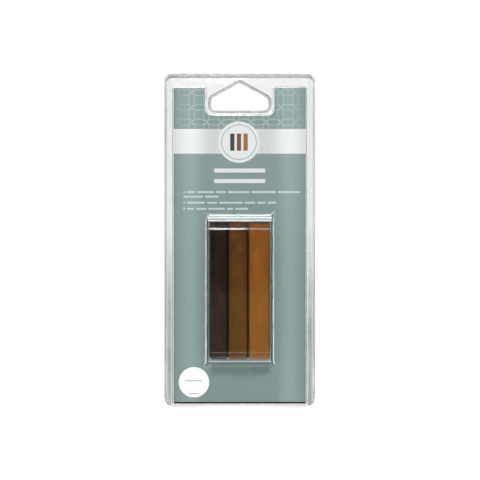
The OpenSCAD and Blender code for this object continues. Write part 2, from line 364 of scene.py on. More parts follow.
def ring(bm, points, height, scuff=0.0):
    """Lays an outline in the mesh. Height and scuff are numbers, or rules that give one."""
    verts = [bm.verts.new((p.x, p.y, height(p) if callable(height) else height)) for p in points]
    mark = bm.verts.layers.float["scuff"]
    for vert in verts:
        vert[mark] = scuff(vert.co) if callable(scuff) else scuff
    return [bm.edges.new((a, b)) for a, b in zip(verts, verts[1:] + verts[:1])]


def fill(bm, *rings):
    edges = [edge for one in rings for edge in one]
    bmesh.ops.triangle_fill(bm, edges=edges, use_beauty=True, use_dissolve=False, normal=(0, 0, 1))


def skin(bm, rings):
    """Joins each ring to the next: level rings by a flat fill, the others by a bridge."""
    for low, high in zip(rings, rings[1:]):
        levels = [vert.co.z for edge in low + high for vert in edge.verts]
        if max(levels) - min(levels) < LEVEL:
            fill(bm, low, high)
        else:
            bmesh.ops.bridge_loops(bm, edges=low + high)


def face_forward(bm):
    bmesh.ops.recalc_face_normals(bm, faces=bm.faces)
    if sum(face.normal.z * face.calc_area() for face in bm.faces) < 0:
        bmesh.ops.reverse_faces(bm, faces=bm.faces)


def finish_piece(name, bm, body, node, upright=True):
    """Stands a face-up mesh upright, brings it to metres and ties it to the frame."""
    if upright:
        bmesh.ops.rotate(bm, cent=(0, 0, 0), matrix=UPRIGHT, verts=bm.verts)
    bmesh.ops.scale(bm, vec=(MM, MM, MM), verts=bm.verts)
    mesh = bpy.data.meshes.new(name)
    bm.to_mesh(mesh)
    bm.free()
    mesh.shade_smooth()
    piece = bpy.data.objects.new(name, mesh)
    scene.collection.objects.link(piece)
    if body:
        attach(piece, body)
    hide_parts(node)
    print(name, "has", len(mesh.polygons), "faces")
    return piece


def give_thickness(piece, thickness):
    wall = piece.modifiers.new("sheet", "SOLIDIFY")
    wall.thickness = thickness * MM
    wall.offset = -1
    wall.use_even_offset = False


trial = new_sheet()
skin(trial, [ring(trial, TRIAL, up) for up in (0.0, 1.0)])
print("a trial wall has", len(trial.faces), "faces")
trial.free()

# %% [markdown]
# Outlines of the pack
#
# Four outlines make both halves: the rim, the card's notched shape, the bubble and the hang hole.
# Each can grow or shrink, so that one rule gives the foot and the crown of every wall. The sizes of
# the pack and the card come from the frame. The hang hole has a ridge-shaped top, which centres the
# pack on its peg.

# %% Outlines of the pack
def span_mm(node):
    """The low and the high corner of a frame piece's box, to a thousandth of a millimetre."""
    return [[round(value / MM, 3) for value in corner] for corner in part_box(node)]


pack_low, pack_high = span_mm("front_shell")
card_low, card_high = span_mm("card_insert")
SHEET, FLANGE = 0.3, 0.35
PACK_HALF, PACK_TOP, PACK_FOOT = pack_high[0], pack_high[2], pack_low[2]
CARD_HALF, CARD_TOP, CARD_FOOT = card_high[0], card_high[2], card_low[2]
PACK_TURN, CARD_TURN = 3.6, 0.5
NOTCH_HALF, NOTCH_FOOT, NOTCH_TURN = 17.75, -17.7, 3.5
BUBBLE_HALF, BUBBLE_LONG, BUBBLE_MID = 18.05, 39.15, -106.5
BUBBLE_TURN, BUBBLE_BRACE = 0.7, 1.2
HOLE_HALF, HOLE_FOOT, HOLE_PEAK = 15.45, -15.3, 0.287
HOLE_TURN, PEAK_TURN = 3.0, 2.0
HOLE_SLOPE = math.radians(29)


def rim_outline(side_in, top_in, foot_in):
    x, turn = PACK_HALF - side_in, PACK_TURN - side_in
    top, foot = PACK_TOP - top_in, PACK_FOOT + foot_in
    return rounded_outline([(-x, top, turn), (-x, foot, turn), (x, foot, turn), (x, top, turn)])


def card_outline(grow):
    x, top, foot = CARD_HALF + grow, CARD_TOP + grow, CARD_FOOT - grow
    notch, notch_foot = NOTCH_HALF - grow, NOTCH_FOOT + grow
    outer, inner = CARD_TURN + grow, NOTCH_TURN - grow
    return rounded_outline([
        (-x, top, outer), (-x, foot, outer), (x, foot, outer), (x, top, outer), (notch, top, outer),
        (notch, notch_foot, inner), (-notch, notch_foot, inner), (-notch, top, outer),
    ])


def bubble_outline(x, reach_down, reach_up):
    """A rounded box with a point set in from both ends of each side, to draw out its corners."""
    foot, top, turn = BUBBLE_MID - reach_down, BUBBLE_MID + reach_up, BUBBLE_TURN
    points = rounded_outline([(-x, top, turn), (-x, foot, turn), (x, foot, turn), (x, top, turn)])
    braced = []
    for start, end in zip(points, points[1:] + points[:1]):
        braced.append(start)
        if (end - start).length > 4 * BUBBLE_BRACE:
            step = BUBBLE_BRACE * (end - start).normalized()
            braced += [start + step, end - step]
    return braced


def hole_outline(grow):
    x, foot = HOLE_HALF + grow, HOLE_FOOT - grow
    peak = HOLE_PEAK + grow / math.cos(HOLE_SLOPE)
    shoulder = peak - x * math.tan(HOLE_SLOPE)
    side = HOLE_TURN + grow
    bend = side * math.tan((math.pi / 2 - HOLE_SLOPE) / 2)
    tip = (PEAK_TURN + grow) * math.tan(HOLE_SLOPE)
    return rounded_outline([
        (-x, foot, side), (x, foot, side), (x, shoulder, bend), (0, peak, tip), (-x, shoulder, bend),
    ])


print("the pack measures", 2 * PACK_HALF, "by", round(PACK_TOP - PACK_FOOT, 1), "mm")

# %% [markdown]
# Front half: rim
#
# A hollow bead runs round the edge of the front half and stiffens it, wider along the top. Sheet
# that cools on a mould is never quite even, so the bead's crown wavers a little. Towards the foot it
# flattens out, because the fold needs a flat edge to turn on. Handling has scuffed it, most of all
# along the top, where hands and pegs meet it.

# %% Rim
front = new_sheet()
BEAD = eased([
    (0, 0, 0), (0.12, 0, 0.05), (0.30, 0.8, 0.20), (1.20, 0.8, 0.30), (1.60, 0, 0.15), (1.75, 0, 0),
])
CREST_FROM, CREST_TO, TOP_EXTRA = 0.3, 1.2, 0.95
FOOT_SLACK = 0.06
SETTLED_FROM, SETTLED_TO = PACK_FOOT + 0.3, PACK_FOOT + 4.3
WAVER, WAVER_PITCH, WAVER_SEED = 0.08, 0.11, 3.0
LEFT_SCUFF, RIGHT_SCUFF, LESS_BELOW, BELOW = 0.60, 0.42, 0.30, -100.0
TOP_SCUFF, TOP_LEFT_SHADE, TOP_LEFT_SHADE_FROM = 1.9, 0.8, 6.0
OUTER_SLOPE, INNER_SLOPE, BEAD_FOOT = 0.6, 1.1, 1.56


def part_way(value, start, end):
    """How far a value has come on the way from start to end, from 0 to 1."""
    return min(1.0, max(0.0, (value - start) / (end - start)))


def bead_height(up):
    def rule(point):
        settled = part_way(point.y, SETTLED_FROM, SETTLED_TO)
        waver = noise.noise(Vector((point.x * WAVER_PITCH, point.y * WAVER_PITCH, WAVER_SEED)))
        return FLANGE + up * settled * (1 - WAVER + WAVER * waver)
    return rule


def bead_scuff(inset):
    def rule(point):
        if inset > BEAD_FOOT:
            return 0.0
        side = LEFT_SCUFF if point.x < 0 else RIGHT_SCUFF
        side -= LESS_BELOW * part_way(point.y, 0.0, BELOW)
        side *= 1.0 - part_way(inset, OUTER_SLOPE, INNER_SLOPE)
        # Along the top left the mark rises further: painted shade, with more roughness, that dims a lamp's
        # bright reflection there.
        top = TOP_SCUFF + TOP_LEFT_SHADE * part_way(point.x, TOP_LEFT_SHADE_FROM, 0.0)
        return side + (top - side) * part_way(point.y, -1.0, 1.0)
    return rule


rim_rings = []
for point in BEAD:
    wider = point.x + TOP_EXTRA * part_way(point.x, CREST_FROM, CREST_TO)
    line = rim_outline(point.x, wider, FOOT_SLACK * point.x / BEAD[-1].x)
    rim_rings.append(ring(front, line, bead_height(point.y), scuff=bead_scuff(point.x)))
skin(front, rim_rings)
print("rim rings:", len(rim_rings))

# %% [markdown]
# Front half: hang hole
#
# The hole is punched after the forming, and the punch rolls its edge a little. On a clear sheet that
# rolled and scuffed lip is what makes the hole show, so it is drawn as a narrow raised wall.

# %% Hang hole
HOLE_LIP = eased([(0.98, 0, 0), (0.93, 0, 0.05), (0.72, 0.26, 0.15), (0.02, 0.26, 0)])
LIP_SCUFF, MORE_ON_SLOPES, SCUFFED_UP = 1.2, 1.5, 0.05
SLOPES_FROM, SLOPES_TO = -13.0, -9.0


def hole_scuff(up):
    def rule(point):
        slopes = part_way(point.y, SLOPES_FROM, SLOPES_TO)
        return (LIP_SCUFF + MORE_ON_SLOPES * slopes) * part_way(up, 0.0, SCUFFED_UP)
    return rule


hole_rings = [
    ring(front, hole_outline(point.x), FLANGE + point.y, scuff=hole_scuff(point.y))
    for point in HOLE_LIP
]
skin(front, hole_rings)
print("hole rings:", len(hole_rings))

# %% [markdown]
# Front half: pocket
#
# The pocket stands 1.5 mm proud, and follows the card's outline, notch and all, so that the card
# can't shift. Its wall is the same rule as the rim's, on another outline.

# %% Pocket
POCKET_UP = 1.5
POCKET = eased([(1.213, 0, 0), (1.113, 0, 0.10), (0.513, POCKET_UP, 0.5), (-0.15, POCKET_UP, 0)])
WALL_SCUFF, WALL_FROM, WALL_TO = 0.8, 0.1, 1.35

pocket_rings = []
for point in POCKET:
    scuffed = WALL_SCUFF if WALL_FROM < point.y < WALL_TO else 0.0
    pocket_rings.append(ring(front, card_outline(point.x), FLANGE + point.y, scuff=scuffed))
skin(front, pocket_rings)
fill(front, rim_rings[-1], hole_rings[0], pocket_rings[0])
print("pocket rings:", len(pocket_rings))

# %% [markdown]
# Front half: bubble
#
# The bubble rises from the pocket with a flared foot, drawn out to points at the corners, and small
# steps in its walls keep them stiff and catch the light in fine lines. Its ends stop at a shoulder
# and then slope up to the flat crown. The upper end, the lower end and the long sides have a profile
# each, and a ring at every height takes its size from all three.

# %% Bubble walls
CROWN = 11.3
FOOT_LAP, CROWN_LAP = 0.9, 2.0
LEAST_STEP = 0.03


def bubble_wall(foot, *corners):
    """A wall's profile, from the pocket's face to the crown.

    Corners are how far in, how high and a radius.
    """
    inner = foot - corners[-1][0]
    path = [(foot + FOOT_LAP, 0, 0)] + [(foot - inset, up, radius) for inset, up, radius in corners]
    return eased(path + [(inner - CROWN_LAP, CROWN, 0)])


def reach_at(wall, up):
    """How far a wall stands out at a height between its foot and the crown."""
    for low, high in zip(wall, wall[1:]):
        if high.y > low.y + LEVEL and low.y - LEVEL <= up <= high.y:
            return low.x + (high.x - low.x) * max(0.0, up - low.y) / (high.y - low.y)
    return wall[-2].x


upper_end = bubble_wall(
    BUBBLE_LONG, (0.85, 0, 0.35), (1.95, 0.90, 0.35), (2.30, 4.1, 0.35), (3.30, 4.9, 0.35),
    (3.75, 9.15, 0.35), (4.75, 9.85, 0.5), (9.2, CROWN, 10.0),
)
lower_end = bubble_wall(
    BUBBLE_LONG, (0.10, 0, 0.25), (3.5, 9.2, 0.35), (4.4, 9.85, 0.5), (8.7, CROWN, 3.0),
)
long_side = bubble_wall(
    BUBBLE_HALF, (0.40, 0, 0.3), (1.20, 0.70, 0.3), (1.45, 5.3, 0.25), (1.75, 5.55, 0.25),
    (2.4, CROWN, 0.45),
)
walls = (long_side, lower_end, upper_end)
heights = [0.0]
for up in sorted(point.y for wall in walls for point in wall):
    if up - heights[-1] > LEAST_STEP:
        heights.append(up)
heights[-1] = CROWN
reaches = [[wall[0].x for wall in walls]]
reaches += [[reach_at(wall, up) for wall in walls] for up in heights]
reaches += [[wall[-1].x for wall in walls]]
print("the bubble has", len(heights), "levels and is", CROWN, "mm high")

# %% [markdown]
# Hot sheet stretches least in a corner, so the foot of the bubble runs out to a small ear at each of
# its four corners. Pulling the points near each corner outwards gives the ears, less and less from
# the flare up to the step in the wall.

# %% Bubble
EAR_UPPER, EAR_LOWER = Vector((1.4, 1.8, 0)), Vector((1.2, 0.9, 0))
EAR_WIDE, EAR_LONG = 0.7, 2.0
EAR_TOP, EAR_FULL = 4.1, 0.9


def with_ears(points, up):
    far, top, foot = max(p.x for p in points), max(p.y for p in points), min(p.y for p in points)
    share = part_way(up, EAR_TOP, EAR_FULL)
    for p in points:
        ear, end = (EAR_UPPER, top) if p.y > BUBBLE_MID else (EAR_LOWER, foot)
        gap = math.hypot((abs(p.x) - far) / EAR_WIDE, (p.y - end) / EAR_LONG)
        pull = share * max(0.0, 1 - gap)
        p.x += math.copysign(ear.x, p.x) * pull
        p.y += math.copysign(ear.y, p.y - BUBBLE_MID) * pull
    return points


bubble_rings = []
for up, (half, down, top) in zip([0.0] + heights + [CROWN], reaches):
    line = with_ears(bubble_outline(half, down, top), up)
    bubble_rings.append(ring(front, line, FLANGE + POCKET_UP + up))
skin(front, bubble_rings)
fill(front, pocket_rings[-1], bubble_rings[0])
fill(front, bubble_rings[-1])
face_forward(front)
clear_front = finish_piece("clear_front", front, "pack", "front_shell")
give_thickness(clear_front, SHEET)

# %% [markdown]
# Back half
#
# The back half is a plainer forming: a flat flange with a shallow plug of the card's outline, which
# presses into the front half's pocket from behind and holds the card against it. It rides on the
# lid body, so it swings down about the fold.

# %% Back half
BACK_LEVEL, EDGE_LAP, PLUG_UP = -0.05, 0.08, 0.95
PLUG = eased([
    (1.05, BACK_LEVEL, 0), (0.85, BACK_LEVEL, 0.12), (0.45, PLUG_UP, 0.4), (-0.15, PLUG_UP, 0),
])
BACK_LIP = ((0.12, 0.0), (0.02, 2.0), (-0.6, 2.0))  # how far out, and how scuffed
back = new_sheet()
edge_rings = [ring(back, rim_outline(inset, inset, inset), BACK_LEVEL) for inset in (0.0, EDGE_LAP)]
plug_rings = [ring(back, card_outline(point.x), point.y) for point in PLUG]
lip_rings = [ring(back, hole_outline(grow), BACK_LEVEL, scuff=mark) for grow, mark in BACK_LIP]
for rings in (edge_rings, plug_rings, lip_rings):
    skin(back, rings)
fill(back, edge_rings[-1], plug_rings[0], lip_rings[0])
fill(back, plug_rings[-1])
face_forward(back)
clear_back = finish_piece("clear_back", back, "lid", "back_shell")
give_thickness(clear_back, SHEET)

# %% [markdown]
# Fold
#
# Both halves come from one sheet, and the strip between them is thinned and folded, so it works as
# a hinge. A narrow plate spun round the fold's axis makes the strip, and a plane trims its two ends
# level. The strip bends between the two bodies as the pack opens.

# %% Fold
FOLD_R, FOLD_T, FOLD_RISE = 0.5, 0.25, 0.2
FOLD_HALF = span_mm("living_hinge")[1][0]
FOLD_Z = PACK_FOOT - FOLD_RISE
FOLD_START, FOLD_TURN, FOLD_STEPS = math.radians(60), math.radians(300), 40
fold = bmesh.new()
spoke = Vector((0, math.cos(FOLD_START), math.sin(FOLD_START)))
inner, outer = FOLD_R - FOLD_T, FOLD_R
corners = ((-FOLD_HALF, inner), (FOLD_HALF, inner), (FOLD_HALF, outer), (-FOLD_HALF, outer))
plate = fold.faces.new([fold.verts.new(spoke * reach + Vector((x, 0, 0))) for x, reach in corners])
bmesh.ops.spin(
    fold, geom=[plate] + plate.edges[:] + plate.verts[:], cent=(0, 0, 0), axis=(1, 0, 0),
    angle=-FOLD_TURN, steps=FOLD_STEPS, use_merge=False,
)
bmesh.ops.bisect_plane(
    fold, geom=fold.verts[:] + fold.edges[:] + fold.faces[:], plane_co=(0, 0, FOLD_RISE),
    plane_no=(0, 0, 1), clear_outer=True,
)
bmesh.ops.holes_fill(fold, edges=fold.edges)
bmesh.ops.remove_doubles(fold, verts=fold.verts, dist=NEAR)
bmesh.ops.recalc_face_normals(fold, faces=fold.faces)
bmesh.ops.translate(fold, vec=(0, 0, FOLD_Z), verts=fold.verts)
clear_fold = finish_piece("clear_fold", fold, None, "living_hinge", upright=False)
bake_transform(clear_fold, "pack", "lid", start=(0, -0.0003, FOLD_Z * MM), end=(0, 0.0003, FOLD_Z * MM))

# %% [markdown]
# Wax sticks
#
# Filling wax is cast in bars and cut to length: long edges well rounded, a rounded foot where the
# mould ended, and a crisper cut at the top. Soft wax picks up dents and hollows in handling, so each
# bar is cut into rings, its skin is pushed in here and there by a noise that only ever goes inwards,
# and a subdivision surface smooths the result. The bars stay inside the solids of the frame.

# %% Wax sticks
BAR_EDGE, BAR_FOOT, BAR_TOP = 1.8, 1.3, 0.45
BAR_RINGS, BAR_COLUMNS = 44, 4
TOUCH, UPRIGHT_EDGE, LEVEL_EDGE, LONG_EDGE = 0.01, 1.0, 2.0, 9.0
ROUND_FOOT, ROUND_TOP = 1.0, 0.3
SEED_STEPS = (1.0, 2.3, 0.7)
PUSH, SWAY, SWAY_PITCH, DENT, DENT_PITCH = 0.06, 0.05, 0.07, 0.09, 0.32


def wax_bar(name, node, body, seed):
    low, high = (Vector(corner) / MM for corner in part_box(node))
    bm = bmesh.new()
    bmesh.ops.create_cube(bm, size=1.0)
    bmesh.ops.scale(bm, vec=high - low, verts=bm.verts)
    bmesh.ops.translate(bm, vec=(high + low) / 2, verts=bm.verts)

    def edges(rule):
        return [edge for edge in bm.edges if rule(edge.verts[0].co, edge.verts[1].co)]

    def turn(chosen, radius, steps):
        bmesh.ops.bevel(
            bm, geom=chosen, offset=radius, offset_type="OFFSET", affect="EDGES",
            segments=steps, profile=0.5, material=-1,
        )

    def across_a_side(a, b):
        level = abs(a.z - b.z) < TOUCH and (a - b).length > LEVEL_EDGE
        return level and low.z + ROUND_FOOT < a.z < high.z - ROUND_TOP

    turn(edges(lambda a, b: abs(a.z - b.z) > UPRIGHT_EDGE), BAR_EDGE, 5)
    turn(edges(lambda a, b: max(a.z, b.z) < low.z + TOUCH), BAR_FOOT, 4)
    turn(edges(lambda a, b: min(a.z, b.z) > high.z - TOUCH), BAR_TOP, 3)
    long_edges = edges(lambda a, b: abs(a.z - b.z) > LONG_EDGE)
    bmesh.ops.subdivide_edges(bm, edges=long_edges, cuts=BAR_RINGS, use_grid_fill=True)
    bmesh.ops.subdivide_edges(bm, edges=edges(across_a_side), cuts=BAR_COLUMNS, use_grid_fill=True)
    bm.normal_update()
    shift = Vector([step * seed for step in SEED_STEPS])
    pushes = []
    for vert in bm.verts:
        sway = noise.noise(vert.co * SWAY_PITCH + shift)
        dent = noise.noise(vert.co * DENT_PITCH + shift)
        pushes.append(PUSH + SWAY * sway + DENT * max(0, dent))
    for vert, push in zip(bm.verts, pushes):
        vert.co -= vert.normal * push
    bar = finish_piece(name, bm, body, node, upright=False)
    smooth = bar.modifiers.new("smooth", "SUBSURF")
    smooth.levels = smooth.render_levels = 1
    lit_directly.objects.link(bar)
    return bar


dark_bar = wax_bar("dark_wax_bar", "wax_stick_dark", "stick_dark", 3.0)
medium_bar = wax_bar("medium_wax_bar", "wax_stick_medium", "stick_medium", 11.0)
light_bar = wax_bar("light_wax_bar", "wax_stick_light", "stick_light", 23.0)

# %% [markdown]
# Surfaces in general
#
# Every finish below starts from the place on the piece, in millimetres, and from soft noise that is
# stretched along one direction. An effect that several materials share becomes a group of nodes with
# named sockets, and small relief goes in as a bump.

# %% Helpers for finishes
def effect(name, inputs, outputs):
    """A shader group with named sockets: itself, what it is given and what it puts out."""
    group = bpy.data.node_groups.new(name, "ShaderNodeTree")
    kinds = {"value": "NodeSocketFloat", "colour": "NodeSocketColor", "vector": "NodeSocketVector"}
    for way, sockets in (("INPUT", inputs), ("OUTPUT", outputs)):
        for key, kind in sockets.items():
            group.interface.new_socket(key, in_out=way, socket_type=kinds[kind])
    given, result = group.nodes.new("NodeGroupInput"), group.nodes.new("NodeGroupOutput")
    return group, given.outputs, result.inputs


def use(tree, group, values):
    return place(tree, "ShaderNodeGroup", values, node_tree=group).outputs


def spot_mm(tree):
    """Object coordinates in millimetres: the vector, and how far across and up it is."""
    here = place(tree, "ShaderNodeTexCoord").outputs["Object"]
    scaled = vector_calc(tree, "MULTIPLY", here, (1 / MM, 1 / MM, 1 / MM))
    parts = place(tree, "ShaderNodeSeparateXYZ", {0: scaled}).outputs
    return scaled, parts["X"], parts["Z"]


def stretched_noise(tree, vector, stretch, scale, detail=2.0, roughness=0.5):
    shaped = vector_calc(tree, "MULTIPLY", vector, stretch)
    values = {"Vector": shaped, "Scale": scale, "Detail": detail, "Roughness": roughness}
    return place(tree, "ShaderNodeTexNoise", values).outputs["Fac"]


def relief(tree, shader, height, strength, distance):
    values = {"Height": height, "Strength": strength, "Distance": distance}
    plug(tree, place(tree, "ShaderNodeBump", values).outputs[0], shader.inputs["Normal"])


def dress(piece, paint):
    piece.data.materials.clear()
    piece.data.materials.append(paint)


EVEN = (1.0, 1.0, 1.0)
print("pieces that wait for a finish:", len(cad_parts))

# %% [markdown]
# Clear sheet finish
#
# The sheet is clear over the card and a little grey on the flanges, with fine upright streaks, and
# greyer towards the foot. Scuffed edges are greyer, by the mark that the mesh carries. A painted
# picture could show the same, but greying worked out from the place on the piece stays sharp close
# up.

# %% Greying and scuffs of the sheet
FLANGE_FROM, FLANGE_TO = 34.5, 35.4
BEAD_FROM, BEAD_TO, GREY_ON_BEAD = 36.9, 37.4, 0.65
GREYER_FROM, GREYER_TO, GREY_ABOVE, GREY_MORE_BELOW = -65.0, -130.0, 0.045, 0.31
sheet_finish, tree, shader = blank("clear_formed_sheet")
vector, x, z = spot_mm(tree)
across = calc(tree, "ABSOLUTE", x)
# The flanges grow greyer towards the foot.
greying = calc(tree, "MULTIPLY_ADD", ease(tree, z, GREYER_FROM, GREYER_TO), GREY_MORE_BELOW, GREY_ABOVE)
streaks = stretched_noise(tree, vector, (1.0, 1.0, 0.03), 1.1, 3.0)
patches = stretched_noise(tree, vector, (1.0, 1.0, 0.5), 0.09, 2.0)
flange = ease(tree, across, FLANGE_FROM, FLANGE_TO)
bead = ease(tree, across, BEAD_FROM, BEAD_TO, 1.0, GREY_ON_BEAD)
for share in (
    calc(tree, "MULTIPLY_ADD", streaks, 0.7, 0.4),
    calc(tree, "MULTIPLY_ADD", patches, 0.9, 0.6),
    calc(tree, "MULTIPLY", flange, bead),
):
    greying = calc(tree, "MULTIPLY", greying, share)
scuff = place(tree, "ShaderNodeAttribute", attribute_name="scuff").outputs["Fac"]
grain = stretched_noise(tree, vector, EVEN, 1.3, 2.0)
dulled = calc(tree, "MULTIPLY", scuff, calc(tree, "MULTIPLY_ADD", grain, 0.42, 0.02))
greying = calc(tree, "ADD", greying, dulled, clamp=True)
print("haze:", len(tree.nodes), "nodes")

# %% [markdown]
# The shader is plain glass with little gloss lost, and less gloss where the sheet is scuffed. Slow
# waves and fine draw lines in the surface make the reflections waver as they do on real formed sheet.
# Light that goes to the card passes straight through, by two mixes on the ray's kind, because a sheet
# this thin hardly holds any light back, and because bent shadow rays would leave the card dark and
# full of noise. The thin fold bends light less than the halves do.

# %% Clear sheet finish
CLEAR, SMOKY, THROUGH = (0.99, 0.995, 0.995, 1), (0.0, 0.01, 0.01, 1), (0.97, 0.98, 0.98, 1)
SHEET_IOR, FOLD_IOR = 1.46, 1.12
plug(tree, tint(tree, greying, CLEAR, SMOKY), shader.inputs["Base Color"])
shader.inputs["Transmission Weight"].default_value = 1.0
shader.inputs["IOR"].default_value = SHEET_IOR
wear = stretched_noise(tree, vector, EVEN, 0.25, 3.0)
gloss = ease(tree, wear, 0.3, 0.8, 0.040, 0.055)
plug(tree, calc(tree, "MULTIPLY_ADD", scuff, 0.07, gloss), shader.inputs["Roughness"])
waves = stretched_noise(tree, vector, (1.0, 1.0, 0.6), 0.06, 1.0)
lines = stretched_noise(tree, vector, (1.0, 1.0, 0.08), 0.9, 2.0)
height = calc(tree, "MULTIPLY_ADD", lines, 0.003, calc(tree, "MULTIPLY", waves, 0.02))
height = calc(tree, "MULTIPLY_ADD", calc(tree, "MULTIPLY", grain, scuff), 0.08, height)
relief(tree, shader, height, 0.12, 0.002)
rays = place(tree, "ShaderNodeLightPath").outputs
through = place(tree, "ShaderNodeBsdfTransparent", {"Color": THROUGH}).outputs[0]
surface = shader.outputs[0]
for kind in ("Is Shadow Ray", "Is Diffuse Ray"):
    surface = shader_mix(tree, rays[kind], surface, through)
show(tree, surface)
fold_finish = sheet_finish.copy()
fold_finish.name = "clear_fold_film"
fold_finish.node_tree.nodes["Principled BSDF"].inputs["IOR"].default_value = FOLD_IOR
dress(clear_front, sheet_finish)
dress(clear_back, sheet_finish)
dress(clear_fold, fold_finish)
print("clear sheet:", len(tree.nodes), "nodes on both halves and the fold")

# %% [markdown]
# Wax finish
#
# All three waxes share one look in different colours: cloudy patches where the melt cooled unevenly,
# facets that handling has rubbed to another tone, faint smears along the bar, a pale bloom that comes
# to the surface with age, and dark specks and nicks. It is one shader group with the colours as its
# inputs, placed in three materials.

# %% Wax look
def make_wax_look():
    tree, given, result = effect(
        "wax_look",
        {
            "Spot": "vector", "Body": "colour", "Deep": "colour", "Bloom": "colour",
            "Cloud": "value", "Edge Shade": "value", "Faded": "value",
        },
        {"Colour": "colour", "Roughness": "value", "Height": "value"},
    )
    spot, deep = given["Spot"], given["Deep"]
    clouds = stretched_noise(tree, spot, (1.0, 1.0, 0.55), 0.16, 4.0, 0.6)
    smears = stretched_noise(tree, spot, (1.0, 1.0, 0.12), 0.55, 3.0, 0.6)
    grain = stretched_noise(tree, spot, EVEN, 2.2, 3.0, 0.6)
    bloom = stretched_noise(tree, spot, (1.0, 1.0, 0.7), 0.28, 5.0, 0.65)
    bend = place(tree, "ShaderNodeTexNoise", {"Vector": spot, "Scale": 0.25, "Detail": 2.0})
    bent = vector_calc(tree, "MULTIPLY_ADD", bend.outputs["Color"], (7.0, 7.0, 7.0), spot)
    bent = vector_calc(tree, "MULTIPLY", bent, (1.0, 1.0, 0.4))
    facets, specks = (
        place(tree, "ShaderNodeTexVoronoi", {"Vector": at, "Scale": scale, "Randomness": 1.0}).outputs
        for at, scale in ((bent, 0.12), (spot, 0.33))
    )
    facet = place(tree, "ShaderNodeSeparateColor", {0: facets["Color"]}).outputs[0]
    cloud_tone = calc(tree, "MULTIPLY", ease(tree, clouds, 0.32, 0.68), 0.4)
    nick = ease(tree, specks["Distance"], 0.13, 0.07)

    body = tint(tree, calc(tree, "MULTIPLY_ADD", facet, 0.6, cloud_tone), deep, given["Body"])
    body = tint(tree, ease(tree, smears, 0.48, 0.78, 0.0, 0.45), body, deep)
    # Painted shade: the bar's long edges turn towards the deep colour.
    body = tint(tree, given["Edge Shade"], body, deep)
    body = tint(tree, given["Faded"], body, given["Bloom"])
    cloudy = calc(tree, "MULTIPLY", ease(tree, bloom, 0.52, 0.78), given["Cloud"])
    body = tint(tree, cloudy, body, given["Bloom"])
    body = tint(tree, calc(tree, "MULTIPLY", nick, 0.6), body, deep)
    bumps = calc(tree, "MULTIPLY_ADD", clouds, 0.8, calc(tree, "MULTIPLY", grain, 0.01))
    plug(tree, body, result["Colour"])
    plug(tree, ease(tree, bloom, 0.3, 0.7, 0.42, 0.62), result["Roughness"])
    plug(tree, calc(tree, "SUBTRACT", bumps, calc(tree, "MULTIPLY", nick, 0.35)), result["Height"])
    return tree


wax_look = make_wax_look()
print("wax look:", len(wax_look.nodes), "nodes")

# %% [markdown]
# The long edges of a bar are painted deeper in colour as shade, and the lower half has faded a little.
# How far a place is from the bar's middle is measured on its mesh, so each bar gets its own edges.

# %% Wax finish
EDGE_SHADE_FROM, EDGE_SHADE_DEEP = 0.35, 0.55
FADED_FROM, FADED_TO, FADED = -101.0, -110.0, 0.25


def wax(name, body, deep, bloom, cloud, piece):
    paint, tree, shader = blank(name)
    vector, x, z = spot_mm(tree)
    sides = [vert.co.x / MM for vert in piece.data.vertices]
    middle, half = (max(sides) + min(sides)) / 2, (max(sides) - min(sides)) / 2
    off_centre = calc(tree, "ABSOLUTE", calc(tree, "SUBTRACT", x, middle))
    look = use(tree, wax_look, {
        "Spot": vector, "Body": seen_as(*body), "Deep": seen_as(*deep), "Bloom": seen_as(*bloom),
        "Cloud": cloud, "Edge Shade": ease(tree, off_centre, EDGE_SHADE_FROM * half, half, 0.0, EDGE_SHADE_DEEP),
        "Faded": ease(tree, z, FADED_FROM, FADED_TO, 0.0, FADED),
    })
    plug(tree, look["Colour"], shader.inputs["Base Color"])
    plug(tree, look["Roughness"], shader.inputs["Roughness"])
    shader.inputs["Specular IOR Level"].default_value = 0.03
    relief(tree, shader, look["Height"], 0.35, 0.0005)
    dress(piece, paint)
    print(name, "on", piece.name)


wax("dark_walnut_wax", (47, 32, 20), (18, 10, 5), (78, 63, 50), 0.5, dark_bar)
wax("medium_oak_wax", (104, 64, 24), (70, 38, 10), (128, 93, 47), 0.5, medium_bar)
wax("light_oak_wax", (148, 90, 30), (120, 68, 14), (174, 118, 60), 0.45, light_bar)

# %% [markdown]
# Paper fibre
#
# The card is a coated board and the round label is paper, so both show fibre: a faint mottle in the
# tone and a very fine relief. It is a shared group, placed in each with its own amount.

# %% Paper fibre
def make_paper_fibre():
    tree, given, result = effect(
        "paper_fibre", {"Spot": "vector", "Amount": "value"}, {"Shade": "value", "Height": "value"}
    )
    fibres = stretched_noise(tree, given["Spot"], (1.0, 1.0, 0.35), 2.6, 4.0, 0.65)
    mottle = stretched_noise(tree, given["Spot"], EVEN, 0.22, 3.0, 0.6)
    both = calc(tree, "MULTIPLY_ADD", fibres, 0.5, calc(tree, "MULTIPLY", mottle, 0.5))
    swing = calc(tree, "MULTIPLY", calc(tree, "SUBTRACT", both, 0.5), given["Amount"])
    plug(tree, calc(tree, "ADD", swing, 1.0), result["Shade"])
    plug(tree, fibres, result["Height"])
    return tree


def paper_surface(tree, shader, colour, fibre, smoothest, roughest):
    plug(tree, colour, shader.inputs["Base Color"])
    rough = ease(tree, fibre["Height"], 0.3, 0.7, smoothest, roughest)
    plug(tree, rough, shader.inputs["Roughness"])
    relief(tree, shader, fibre["Height"], 0.15, 0.0001)


paper_fibre = make_paper_fibre()
print("paper fibre:", len(paper_fibre.nodes), "nodes")

# %% [markdown]
# Print is the other shared effect: a plain rule of given place and size. It gives back a mask, and
# each material chooses its own ink and how much of it there is.

# %% Printed rules
PRINT_SOFT = 0.12


